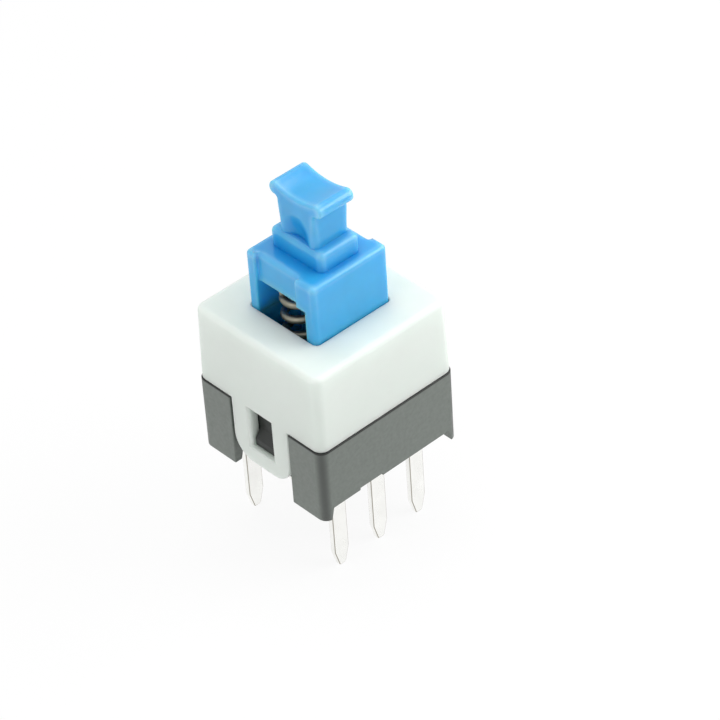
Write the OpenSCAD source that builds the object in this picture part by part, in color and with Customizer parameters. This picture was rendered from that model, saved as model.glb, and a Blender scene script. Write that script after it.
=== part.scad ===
// Self-locking push switch with two changeover poles, for a printed circuit board.
// X runs along the terminal rows, Y across them, and Z is up. Z = 0 is the board that the feet stand on.

/* [Base] */
// Height of the base block, from its underside to the joint with the housing
base_h = 3.45; // [3.2:0.05:4.2]
// Height of the feet that lift the base off the board
foot_h = 0.65; // [0.3:0.05:1]
// Thickness of each foot at the board
foot_t = 0.42; // [0.3:0.02:0.5]
// How much thicker each foot is where it meets the base
foot_slope = 0.16; // [0:0.02:0.2]
// Thickness of the base's floor
floor_t = 1; // [0.7:0.05:1.2]
// Radius of the base's upright corners
base_r = 0.5; // [0.3:0.05:0.8]
// Height of the rim that stands up inside the housing
rim_h = 0.5; // [0.3:0.05:0.8]
// Least thickness of the rim behind the terminals
rim_t = 0.33; // [0.25:0.01:0.5]
// Least thickness of the wall between the cavity and a tab groove
groove_wall = 0.5; // [0.4:0.02:0.8]
// Width of the ribs that guide the plunger's skirt
rib_w = 0.6; // [0.4:0.05:0.8]
// Width of the shallow gate notch under the front wall
gate_w = 1.4; // [1:0.1:2]
// Height of the gate notch
gate_h = 0.12; // [0.05:0.01:0.2]
// Depth of the gate notch
gate_t = 0.3; // [0.1:0.05:0.5]
// Distance of the gate notch from the middle
gate_x = 1.3; // [0:0.1:1.6]

/* [Housing] */
// Height of the housing above its joint with the base
housing_h = 4.2; // [4:0.05:5.5]
// How far the housing's lower edge stands in from the base's outline
housing_inset = 0.04; // [0.02:0.01:0.2]
// How far each side leans in from the lower edge to the top
housing_draft = 0.08; // [0:0.01:0.15]
// Height of the upright band along the housing's lower edge
housing_band = 0.1; // [0.05:0.01:0.2]
// Thickness of the housing's side walls
wall_t = 0.6; // [0.5:0.05:0.7]
// Thickness of the housing's top
top_t = 0.8; // [0.6:0.05:1]
// Radius of the housing's upright corners
housing_r = 0.5; // [0.45:0.05:1]
// Radius along the housing's top edges
edge_r = 0.3; // [0.2:0.05:0.4]

/* [Snap tabs] */
// Width of each snap tab
tab_w = 3.8; // [3.2:0.1:4]
// Thickness of each snap tab
tab_t = 0.56; // [0.4:0.02:0.58]
// Length of each snap tab below the joint
tab_len = 3.3; // [2.9:0.05:3.4]
// Radius of the tab's lower corners
tab_r = 1.2; // [0.6:0.1:1.5]
// Width of the window in the tab
window_w = 1.5; // [1.1:0.1:1.8]
// Height of the bar left below the window
window_bar = 0.9; // [0.8:0.05:1.3]
// Height of the catch that the window snaps over
catch_h = 0.9; // [0.8:0.05:1.4]
// Height of the catch's upright face
catch_face = 0.45; // [0.2:0.05:0.6]
// How far the catch stops short of the tab's outer face
catch_set = 0.24; // [0.08:0.02:0.3]

/* [Plunger] */
// Width of the plunger's block along X
block_x = 4.6; // [4.2:0.05:5.2]
// Width of the plunger's block along Y
block_y = 4.5; // [4.2:0.05:5.2]
// Height of the block above the housing when released
block_h = 3.15; // [2.7:0.05:4]
// Radius of the block's corners and top edges
block_r = 0.22; // [0.1:0.02:0.3]
// How far the skirt reaches past the block at each Y side, to hold the plunger in
shoulder = 0.2; // [0.12:0.02:0.24]
// Width of the spring pocket
pocket_w = 3.26; // [2.6:0.02:3.4]
// Height of the spring pocket above the housing's top
pocket_h = 1.6; // [1:0.05:1.8]
// Depth of the channels in the two X faces
channel_t = 0.22; // [0.1:0.02:0.28]
// Reach of both channels towards +Y
channel_far = 1.62; // [1.4:0.02:1.8]
// Reach of the channel over the spring pocket towards -Y
spring_channel_near = 1; // [0.8:0.05:1.4]
// Reach of the channel over the heart cam towards -Y
cam_channel_near = 1.3; // [1:0.05:1.5]

/* [Stem] */
// Height of the stem above the block
stem_h = 3.5; // [3:0.05:4.5]
// Width of the stem's neck and head along X
stem_x = 2.1; // [1.6:0.05:2.3]
// Width of the stem's plinth along X
plinth_x = 2.4; // [2.3:0.05:2.8]
// Width of the plinth along Y
plinth_y = 3.4; // [3:0.05:3.7]
// Height of the plinth
plinth_h = 1; // [0.6:0.05:1.2]
// Radius of the plinth's corners and upper edges
plinth_r = 0.26; // [0.12:0.02:0.3]
// Width of the neck along Y
neck_y = 2.2; // [1.8:0.05:2.4]
// Width of the head along Y, over both lips
head_y = 3.42; // [3:0.02:3.8]
// Radius of the rolled lips
lip_r = 0.34; // [0.25:0.01:0.4]
// Width of the flat left on top of each lip, beside the dish
lip_flat = 0.05; // [0.02:0.01:0.15]
// Depth of the dish between the lips
dish_d = 0.24; // [0.1:0.02:0.3]
// Radius in the corners under the head and above the plinth
neck_r = 0.22; // [0.1:0.02:0.3]

/* [Travel] */
// Full travel of the plunger
travel = 2.2; // [1.8:0.1:2.4]
// Travel past the point where the plunger stays latched
overtravel = 0.6; // [0.4:0.05:0.7]
// Room left below the plunger at full travel
bottom_room = 0.35; // [0.2:0.05:0.5]

/* [Return spring] */
// Outside diameter of the return spring
spring_od = 2.1; // [1.8:0.05:2.3]
// Diameter of the spring's wire
spring_wire = 0.38; // [0.2:0.02:0.4]
// Number of turns, with one closed turn at each end
spring_turns = 9.75; // [8:0.25:11]
// How far the spring stands back from the block's -X face
spring_set = 0.21; // [0.15:0.01:0.3]
// Room round the spring, in its pocket and on its boss
spring_room = 0.15; // [0.08:0.01:0.2]
// Height of the boss that centres the spring
boss_h = 0.6; // [0.4:0.05:1]

/* [Lock pin] */
// Diameter of the lock pin's wire
lock_wire = 0.45; // [0.36:0.01:0.48]
// Radius of the lock pin's bends
bend_r = 0.35; // [0.3:0.01:0.4]
// Room between the lock pin and the plunger's face
lock_room = 0.17; // [0.1:0.01:0.2]
// Height of the lock pin's pivot above the floor
pivot_rise = 0.75; // [0.5:0.05:1]
// Height of the lock pin's tip above the skirt's lower edge
tip_rise = 0.75; // [0.6:0.05:1]
// Depth of the heart cam below its channel
cam_t = 0.5; // [0.35:0.05:0.6]
// Half width of the cam's heart
heart_half = 0.3; // [0.24:0.02:0.34]
// Room round the lock pin's tip in the cam
cam_room = 0.1; // [0.06:0.01:0.12]
// Distance of the cam's middle from the plunger's axis
cam_y = 0.2; // [0.1:0.02:0.3]

/* [Terminals] */
// Distance between neighbouring terminals in a row
pitch = 2.5; // [2.4:0.02:2.7]
// Width of a terminal's pin
pin_w = 0.88; // [0.7:0.02:0.96]
// Thickness of the terminal strip
pin_t = 0.3; // [0.25:0.01:0.35]
// Length of the pin below the board's face
pin_len = 4.3; // [3:0.1:5]
// Length of the pin's taper
taper_len = 0.9; // [0.5:0.05:1.2]
// Width of the pin's tip
tip_w = 0.44; // [0.3:0.02:0.5]
// Width of the contact blade inside the switch
blade_w = 1.1; // [1.04:0.02:1.2]
// How far the blades reach above the contact point
blade_over = 1; // [0.8:0.05:1.2]
// How far the rest blade reaches below the contact point
rest_under = 0.45; // [0.3:0.05:0.6]
// How far the work blade stops below the contact point
work_under = 0.9; // [0.7:0.05:1.1]

/* [Moving contacts] */
// Thickness of the contact leaf
leaf_t = 0.12; // [0.08:0.01:0.15]
// Width of each contact finger
finger_w = 0.5; // [0.4:0.02:0.56]
// Height of the bow in each finger
bow_h = 1.2; // [1:0.05:1.3]
// How far the bow stands out from the leaf
bow_out = 0.26; // [0.2:0.01:0.32]
// Height of the strip that carries the fingers
strip_h = 1.2; // [1:0.05:1.3]
// Diameter of the pegs that hold the leaf on the plunger
peg_d = 0.6; // [0.4:0.05:0.7]
// How far the pegs stand out of the leaf
peg_over = 0.1; // [0.04:0.02:0.14]
// Height of the contact point above the skirt's lower edge
contact_rise = 0.8; // [0.7:0.05:1]

/* [Fits] */
// Clearance at each side of a piece that slides or turns, and behind the snap tabs
slide_gap = 0.05; // [0.03:0.01:0.08]
// Clearance at each side of a snap tab in its groove
tab_gap = 0.1; // [0.05:0.01:0.14]
// Clearance where a fixed piece is seated
seat_gap = 0.02; // [0.01:0.005:0.03]

/* [Hidden] */
$fn = 48;

// Levels, from the board up
z_under = foot_h;
z_floor = z_under + floor_t;
z_joint = z_under + base_h;
z_rim = z_joint + rim_h;
z_top = z_joint + housing_h;
z_ceiling = z_top - top_t;
z_skirt_top = z_ceiling - seat_gap;
z_skirt_bottom = z_floor + travel + bottom_room;
z_pocket = z_top + pocket_h;
z_block = z_top + block_h;

// Distances from the middle, from the plunger out to its contacts, the lock pin and the terminals
skirt_half = block_y / 2 + shoulder;
channel_face = block_x / 2 - channel_t;
spring_off = block_x / 2 - spring_set - spring_od / 2;
contact_y = skirt_half + leaf_t + bow_out;
row_y = contact_y + seat_gap + pin_t / 2;
lock_x = block_x / 2 + lock_room + lock_wire / 2;

// The cavity holds both rows and the lock pin, and the square body takes whichever side needs more
cavity_x = max(pitch + blade_w / 2, lock_x + bend_r) + slide_gap;
cavity_y = row_y + pin_t / 2 + seat_gap;
housing_half = slide_gap + max(cavity_x + groove_wall + tab_t, cavity_y + rim_t + wall_t);
housing_top_half = housing_half - housing_draft;
inner_half = housing_half - wall_t;
rim_half = inner_half - slide_gap;
groove_half = housing_half - tab_t - slide_gap;
groove_w = tab_w + 2 * tab_gap;
base_half = housing_half + housing_inset;
body_w = 2 * base_half;

// How far a cut runs past the face it opens, and how far an added form sinks into its carrier
past = body_w / 8;
sink = floor_t / 10;

// Lock pin and heart cam, with the plunger released
z_pivot = z_floor + pivot_rise;
z_tip = z_skirt_bottom + tip_rise;
lock_arm = z_tip - z_pivot;
tip_room = lock_wire / 2 + cam_room;
lane = heart_half + tip_room;
lean = asin(lane / lock_arm);
tip_drop = lock_arm * (1 - cos(lean));
cam_floor = channel_face - cam_t;
heart_low = z_tip + tip_room;
heart_high = z_tip + travel - tip_drop - tip_room;
heart_notch = z_tip + travel - overtravel - lock_wire / 2 - seat_gap;

// Contact levels, with the plunger released
z_contact = z_skirt_bottom + contact_rise;
z_blade_top = z_contact + blade_over;
z_rest_low = z_contact - rest_under;
z_work_top = z_contact - work_under;
z_strip = z_contact + bow_h / 2;
z_peg = z_strip + strip_h / 2;
finger_x = pitch - blade_w / 2 + finger_w / 2 + slide_gap;
peg_x = finger_x / 2;

// Outline of a rectangle with rounded corners, as true arcs.
module rounded_rect(x, y, r) {
    square([x - 2 * r, y], center = true);
    square([x, y - 2 * r], center = true);
    for (i = [-1, 1], j = [-1, 1])
        translate([i * (x / 2 - r), j * (y / 2 - r)]) circle(r);
}

// Extrudes an outline drawn in Y and Z along X.
module along_x(length) {
    rotate([90, 0, 90]) linear_extrude(length, center = true) children();
}

// Extrudes an outline drawn in X and Z along Y.
module along_y(length) {
    rotate([90, 0, 0]) linear_extrude(length, center = true) children();
}

// A box given by its lowest and highest corners.
module box(low, high) {
    translate(low) cube(high - low);
}

// Repeats the children on the +X and -X sides.
module both_x() {
    children();
    mirror([1, 0, 0]) children();
}

// Repeats the children on the +Y and -Y sides.
module both_y() {
    children();
    mirror([0, 1, 0]) children();
}

// A quarter of a disc at the origin, towards +X and +Y.
module quarter_disc(r) {
    intersection() {
        circle(r);
        square(r);
    }
}

// The material that rounds an inside corner at the origin, towards +X and +Y.
module inside_fillet(r) {
    difference() {
        square(r);
        translate([r, r]) circle(r);
    }
}

// Base: a block with two grooves for the snap tabs, four feet, and a cavity for the contacts.
module base() {
    color([0.36, 0.39, 0.38]) {
        difference() {
            union() {
                translate([0, 0, z_under]) linear_extrude(base_h) rounded_rect(body_w, body_w, base_r);
                translate([0, 0, z_under]) linear_extrude(base_h + rim_h) square(2 * rim_half, center = true);
                base_feet();
            }
            box([-cavity_x, -cavity_y, z_floor], [cavity_x, cavity_y, z_rim + past]);
            both_x() box([groove_half, -groove_w / 2, -past], [base_half + past, groove_w / 2, z_rim + past]);
            terminal_slots();
            translate([0, cam_y, z_pivot]) rotate([0, 90, 0])
                cylinder(d = lock_wire + 2 * slide_gap, h = groove_half - sink);
            box([-gate_x - gate_w / 2, -base_half - past, z_under - past],
                [-gate_x + gate_w / 2, -base_half + gate_t, z_under + gate_h]);
        }
        both_x() base_catch();
        both_x() both_y() guide_rib();
        translate([-spring_off, 0, z_floor - sink])
            cylinder(r = spring_od / 2 - spring_wire - spring_room, h = boss_h + sink);
    }
}

// Feet: the lower ends of the four corner posts, beside the tab grooves, thicker towards the base.
module base_feet() {
    length = base_half - groove_w / 2;
    root = base_half - foot_t - foot_slope;
    intersection() {
        linear_extrude(z_under + sink) rounded_rect(body_w, body_w, base_r);
        both_x() both_y() translate([0, base_half - length / 2, 0]) along_y(length)
            polygon([
                [base_half - foot_t, 0], [base_half, 0], [base_half, z_under + sink],
                [root, z_under + sink], [root, z_under],
            ]);
    }
}

// Slots through the floor, one for each terminal's pin.
module terminal_slots() {
    for (i = [-1, 0, 1], j = [-1, 1])
        translate([i * pitch, j * row_y, z_under - past]) linear_extrude(floor_t + 2 * past)
            square([pin_w + 2 * seat_gap, pin_t + 2 * seat_gap], center = true);
}

// Catch: a wedge on the groove's floor that the tab's window snaps over.
module base_catch() {
    z_ledge = z_joint - tab_len + window_bar + slide_gap;
    reach = housing_half - catch_set;
    along_y(window_w - 2 * slide_gap)
        polygon([
            [groove_half - sink, z_ledge], [reach, z_ledge], [reach, z_ledge + catch_face],
            [groove_half, z_ledge + catch_h], [groove_half - sink, z_ledge + catch_h],
        ]);
}

// Guide rib: keeps the plunger's skirt straight between the base's X walls.
module guide_rib() {
    high_y = skirt_half - slide_gap;
    box([block_x / 2 + slide_gap, high_y - rib_w, z_floor - sink], [cavity_x + sink, high_y, z_rim]);
}

// Housing: a drafted cap with a square hole for the plunger and a windowed snap tab on each X side.
module housing() {
    color([0.92, 0.95, 0.93])
    difference() {
        union() {
            housing_shell();
            both_x() snap_tab();
        }
        box([-inner_half, -inner_half, z_joint - past], [inner_half, inner_half, z_ceiling]);
        linear_extrude(z_top + past)
            rounded_rect(block_x + 2 * slide_gap, block_y + 2 * slide_gap, block_r + slide_gap);
    }
}

// The housing's outer form, lofted from its lower edge to its rounded top.
module housing_shell() {
    corner = housing_top_half - housing_r;
    hull() {
        translate([0, 0, z_joint]) linear_extrude(housing_band)
            rounded_rect(2 * housing_half, 2 * housing_half, housing_r, $fn = 32);
        for (i = [-1, 1], j = [-1, 1]) translate([i * corner, j * corner, z_top - edge_r])
            rotate_extrude($fn = 32) translate([housing_r - edge_r, 0]) quarter_disc(edge_r, $fn = 32);
    }
}

// Snap tab: hangs from the housing's wall, with rounded lower corners and a window for the catch.
module snap_tab() {
    z_end = z_joint - tab_len;
    translate([housing_half - tab_t / 2, 0, 0]) along_x(tab_t)
        difference() {
            union() {
                translate([-tab_w / 2, z_end + tab_r]) square([tab_w, tab_len - tab_r + housing_band]);
                translate([-tab_w / 2 + tab_r, z_end]) square([tab_w - 2 * tab_r, tab_len]);
                for (i = [-1, 1]) translate([i * (tab_w / 2 - tab_r), z_end + tab_r]) circle(tab_r);
            }
            translate([-window_w / 2, z_end + window_bar]) square([window_w, tab_len - window_bar]);
        }
}

// Plunger: block, stem and skirt in one piece, with a spring pocket in -X and a heart cam in +X.
module plunger() {
    color([0.25, 0.62, 0.90]) {
        difference() {
            union() {
                soft_block(block_x, block_y, z_skirt_bottom, z_block, block_r);
                plunger_skirt();
                soft_block(plinth_x, plinth_y, z_block - block_r, z_block + plinth_h, plinth_r);
                translate([0, 0, z_block]) along_x(stem_x) stem_profile();
            }
            mirror([1, 0, 0]) face_channel(spring_channel_near);
            face_channel(cam_channel_near);
            box([-block_x, -pocket_w / 2, z_skirt_bottom - past],
                [spring_od / 2 - spring_off + spring_room, pocket_w / 2, z_pocket]);
            heart_cam();
        }
        both_y() for (i = [-1, 1]) translate([i * peg_x, skirt_half - sink, z_peg]) rotate([-90, 0, 0])
            cylinder(d = peg_d, h = sink + leaf_t + peg_over);
    }
}

// A block from one level up to another, with rounded upright corners and top edges.
module soft_block(x, y, low, high, r) {
    hull() for (i = [-1, 1], j = [-1, 1]) translate([i * (x / 2 - r), j * (y / 2 - r), 0]) {
        translate([0, 0, low]) cylinder(r = r, h = high - low - r, $fn = 32);
        translate([0, 0, high - r]) sphere(r, $fn = 32);
    }
}

// The skirt under the block, wider along Y so that it stops under the housing's top.
module plunger_skirt() {
    translate([0, 0, z_skirt_bottom]) linear_extrude(z_skirt_top - z_skirt_bottom)
        rounded_rect(block_x, 2 * skirt_half, block_r);
}

// A shallow channel down the whole +X face, from near on its -Y side to the common +Y side.
module face_channel(near) {
    box([channel_face, -near, z_skirt_bottom - past], [block_x / 2 + past, channel_far, z_block + past]);
}

// The stem in section across the lips: the neck, flared at its foot, and a dished head with rolled lips.
module stem_profile() {
    lip_y = head_y / 2 - lip_r;
    lip_z = stem_h - lip_r;
    dish_half = lip_y - lip_flat;
    dish_r = (dish_half * dish_half + dish_d * dish_d) / (2 * dish_d);
    difference() {
        union() {
            translate([-neck_y / 2, 0]) square([neck_y, lip_z]);
            translate([-lip_y, lip_z - lip_r]) square([2 * lip_y, 2 * lip_r]);
            for (i = [-1, 1]) {
                translate([i * lip_y, lip_z]) circle(lip_r);
                translate([i * neck_y / 2, plinth_h]) rotate(i < 0 ? 90 : 0) inside_fillet(neck_r);
                translate([i * neck_y / 2, lip_z - lip_r]) rotate(i < 0 ? 180 : 270) inside_fillet(neck_r);
            }
        }
        translate([0, stem_h - dish_d + dish_r]) circle(dish_r, $fn = 96);
    }
}

// Heart cam: a pocket in the +X channel with a heart-shaped island that the lock pin runs round.
module heart_cam() {
    deep = cam_t + past;
    half = lane + tip_room;
    low = z_tip - tip_drop - tip_room;
    high = z_tip + travel + tip_room;
    waist = (heart_low + heart_notch) / 2;
    translate([cam_floor + deep / 2, cam_y, 0]) along_x(deep)
        difference() {
            translate([-half, low]) square([2 * half, high - low]);
            polygon([
                [0, heart_low], [heart_half, waist], [heart_half, heart_high],
                [0, heart_notch], [-heart_half, heart_high], [-heart_half, waist],
            ]);
        }
}

// Height of the spring's wire after a number of turns: open turns between a closed turn at each end.
spring_low = z_floor + seat_gap + spring_wire / 2;
spring_high = z_pocket - seat_gap - spring_wire / 2;
closed_pitch = spring_wire + seat_gap;
open_pitch = (spring_high - spring_low - 2 * closed_pitch) / (spring_turns - 2);
function spring_z(t) =
    spring_low + closed_pitch * (min(t, 1) + max(t - spring_turns + 1, 0))
    + open_pitch * min(max(t - 1, 0), spring_turns - 2);

// One ring of points round the spring's wire after a number of turns.
spring_sides = 8;
spring_steps = 14;
spring_start = 250;
function spring_ring(t) =
    let (a = spring_start + 360 * t, middle = (spring_od - spring_wire) / 2)
    [for (k = [0 : spring_sides - 1])
        let (b = 360 * k / spring_sides, r = middle + spring_wire / 2 * cos(b))
        [r * cos(a) - spring_off, r * sin(a), spring_z(t) + spring_wire / 2 * sin(b)]];

// Return spring: a round wire swept along the helix, between the floor and the pocket's ceiling.
module return_spring() {
    rings = round(spring_turns * spring_steps);
    points = [for (i = [0 : rings]) each spring_ring(spring_turns * i / rings)];
    skin = [
        for (i = [0 : rings - 1], k = [0 : spring_sides - 1])
            let (a = i * spring_sides + k, b = i * spring_sides + (k + 1) % spring_sides)
            each [[a, a + spring_sides, b + spring_sides], [a, b + spring_sides, b]]
    ];
    first = [for (k = [0 : spring_sides - 1]) k];
    last = [for (k = [spring_sides - 1 : -1 : 0]) rings * spring_sides + k];
    color([0.62, 0.60, 0.54]) polyhedron(points, concat(skin, [first, last]), convexity = 10);
}

// Lock pin: a wire bent at both ends. Its foot turns in the base's wall and its tip runs in the cam.
module lock_pin() {
    foot = groove_half - sink - slide_gap - lock_x - bend_r;
    tip = lock_x - bend_r - cam_floor - cam_room;
    color([0.72, 0.72, 0.70])
    translate([lock_x, cam_y, z_pivot]) rotate([lean, 0, 0]) {
        translate([bend_r, 0, 0]) rotate([0, 90, 0]) cylinder(d = lock_wire, h = foot);
        translate([bend_r, 0, bend_r]) rotate([90, 180, 0]) wire_bend();
        translate([0, 0, bend_r]) cylinder(d = lock_wire, h = lock_arm - 2 * bend_r);
        translate([-bend_r, 0, lock_arm - bend_r]) rotate([90, 0, 0]) wire_bend();
        translate([-bend_r, 0, lock_arm]) rotate([0, -90, 0]) cylinder(d = lock_wire, h = tip);
    }
}

// A quarter bend in the lock pin's wire, about the Z axis.
module wire_bend() {
    rotate_extrude(angle = 90) translate([bend_r, 0]) circle(d = lock_wire);
}

// Moving contact: a leaf held on the skirt's +Y face by two pegs, with three bowed fingers.
module moving_contact() {
    half = finger_x + finger_w / 2;
    color([0.80, 0.64, 0.34])
    difference() {
        union() {
            box([-half, skirt_half, z_strip], [half, skirt_half + leaf_t, z_strip + strip_h]);
            for (i = [-1, 0, 1]) translate([i * finger_x, 0, 0]) along_x(finger_w) finger_profile();
        }
        for (i = [-1, 1]) translate([i * peg_x, skirt_half, z_peg]) rotate([90, 0, 0])
            cylinder(d = peg_d + 2 * seat_gap, h = 4 * leaf_t, center = true);
    }
}

// One finger in section: an arc that bows out from the leaf to the blades and comes back.
module finger_profile() {
    chord = bow_h / 2 + leaf_t;
    r = (chord * chord + bow_out * bow_out) / (2 * bow_out);
    intersection() {
        translate([contact_y - r, z_contact])
            difference() {
                circle(r, $fn = 96);
                circle(r - leaf_t, $fn = 96);
            }
        translate([skirt_half + seat_gap, z_contact - bow_h / 2]) square([bow_out + leaf_t, bow_h + leaf_t]);
    }
}

// Terminal: one flat strip, with a tapered pin below the floor and its contact blade above.
module terminal(i) {
    color([0.86, 0.85, 0.80])
    translate([i * pitch, row_y, 0]) along_y(pin_t) {
        pin_outline();
        children();
    }
}

// Outline of a terminal's pin, from the top of the floor down to its blunt tip.
module pin_outline() {
    tip_r = tip_w / 4;
    z_taper = -pin_len + taper_len;
    translate([-pin_w / 2, z_taper]) square([pin_w, z_floor - z_taper]);
    translate([-tip_w / 2 + tip_r, -pin_len]) square([tip_w - 2 * tip_r, taper_len]);
    for (i = [-1, 1]) translate([i * (tip_w / 2 - tip_r), -pin_len + tip_r]) circle(tip_r);
    polygon([
        [-pin_w / 2, z_taper], [-tip_w / 2, -pin_len + tip_r],
        [tip_w / 2, -pin_len + tip_r], [pin_w / 2, z_taper],
    ]);
}

// Blade that its finger touches while the plunger is released: narrow below, clear of the finger.
module rest_blade() {
    narrow = blade_w - finger_w - 2 * slide_gap;
    translate([-blade_w / 2, z_rest_low]) square([blade_w, z_blade_top - z_rest_low]);
    translate([-blade_w / 2, z_floor]) square([narrow, z_rest_low - z_floor]);
}

// Blade that its finger always touches.
module common_blade() {
    translate([-blade_w / 2, z_floor]) square([blade_w, z_blade_top - z_floor]);
}

// Blade that its finger touches once the plunger is down.
module work_blade() {
    translate([-blade_w / 2, z_floor]) square([blade_w, z_work_top - z_floor]);
}

base();
housing();
plunger();
return_spring();
lock_pin();
moving_contact();  // rear_moving_contact
mirror([0, 1, 0]) moving_contact();  // front_moving_contact
terminal(-1) rest_blade();  // rear_rest_terminal
terminal(0) common_blade();  // rear_common_terminal
terminal(1) work_blade();  // rear_work_terminal
mirror([0, 1, 0]) terminal(-1) rest_blade();  // front_rest_terminal
mirror([0, 1, 0]) terminal(0) common_blade();  // front_common_terminal
mirror([0, 1, 0]) terminal(1) work_blade();  // front_work_terminal
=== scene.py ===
"""Looks of a self-locking push switch: soft moulded edges, spring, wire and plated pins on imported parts."""

import math

import bmesh
import bpy
import numpy as np
from bpy.props import FloatProperty, FloatVectorProperty, IntProperty, PointerProperty
from bpy.types import Operator, Panel, PropertyGroup
from mathutils import Matrix, Vector


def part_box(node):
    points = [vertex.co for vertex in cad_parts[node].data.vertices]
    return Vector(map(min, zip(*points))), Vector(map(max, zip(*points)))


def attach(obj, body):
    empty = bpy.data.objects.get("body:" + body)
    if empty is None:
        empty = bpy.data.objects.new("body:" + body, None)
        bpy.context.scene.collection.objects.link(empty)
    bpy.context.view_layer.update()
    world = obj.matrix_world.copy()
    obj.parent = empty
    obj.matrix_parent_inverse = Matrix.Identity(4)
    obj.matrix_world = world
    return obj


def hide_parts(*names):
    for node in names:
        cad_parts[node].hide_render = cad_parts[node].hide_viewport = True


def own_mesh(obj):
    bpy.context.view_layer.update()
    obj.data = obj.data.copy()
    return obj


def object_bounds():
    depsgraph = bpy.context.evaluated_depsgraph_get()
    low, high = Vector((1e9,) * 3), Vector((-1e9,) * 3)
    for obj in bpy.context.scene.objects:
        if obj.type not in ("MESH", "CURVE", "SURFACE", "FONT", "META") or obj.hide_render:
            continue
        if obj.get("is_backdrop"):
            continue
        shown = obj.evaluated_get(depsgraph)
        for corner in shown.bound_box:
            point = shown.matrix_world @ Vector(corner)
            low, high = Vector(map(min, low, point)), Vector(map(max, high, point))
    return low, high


bl_info = {
    "name": "Push switch",
    "version": (1, 0, 0),
    "blender": (4, 5, 0),
    "location": "3D View > Sidebar > Switch",
    "description": "Builds the finished look of a self-locking push switch",
    "category": "Object",
}

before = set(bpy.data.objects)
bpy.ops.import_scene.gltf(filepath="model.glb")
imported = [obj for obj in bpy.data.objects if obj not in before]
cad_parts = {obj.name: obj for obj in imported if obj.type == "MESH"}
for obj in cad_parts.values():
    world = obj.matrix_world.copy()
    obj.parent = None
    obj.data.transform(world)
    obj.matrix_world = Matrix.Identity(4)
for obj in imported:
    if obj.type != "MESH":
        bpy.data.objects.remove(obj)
CAD_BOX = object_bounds()
MM = 0.001
FRAME_PX = 720

# Slack in comparing places, in millimetres, or as a share
TOUCH = 0.01

# Places on the CAD solids, in millimetres, that tell the edges apart
HOUSING_WALL = 0.5
JAMB_REACH = 0.8
JAMB_FOOT = 2.0
BASE_LEDGE = 3.7
BASE_INSIDE = 3.55
SKIRT_LEDGE = 7.48

# Depths by which one form of the plunger runs into the next
SKIRT_SPLIT = 0.2 * MM
PLINTH_SUNK = 0.2 * MM
STEM_SUNK = 0.85 * MM
POCKET_SUNK = 1.0 * MM

# Distances that the plunger's finish looks round a point
VALLEY_REACH = 1.0 * MM
POCKET_REACH = 3.0 * MM
RIDGE_REACH = 0.44 * MM

# Height above the block's top round which the plunger's hollows get painted shade in deep blue
PAINTED_SHADE_RISE = 0.3 * MM

# Limits of the meshes: joined points, arcs, mitres, flat faces, edges that are rounded, cut edges and creases
WELD = 0.0005 * MM
LEAST_RADIUS = 0.002 * MM
LEAST_MITRE = 0.3
FLAT_ANGLE = math.radians(0.5)
EDGE_ANGLE = math.radians(22)
CUT_ANGLE = math.radians(50)
CREASE_ANGLE = math.radians(35)

# Share of the dents' height at which the stem's edge radius starts to ease
EASE_START = 0.2

COIL_GAP = 0.02 * MM
TURN_STEPS = 56
METAL_SCALE = 5000
FLOOR_HALF = 0.6
FLOOR_WHITE = 0.9
AIM = Vector((0, 0, 0.006))


def length(name, description, default_mm):
    """A length property, given in millimetres and kept in metres."""
    return FloatProperty(
        name=name, description=description, default=default_mm * MM, min=0, unit="LENGTH", precision=5
    )


def colour(name, description, default):
    """A linear colour property."""
    return FloatVectorProperty(
        name=name, description=description, default=default, subtype="COLOR", min=0, max=1
    )


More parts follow.
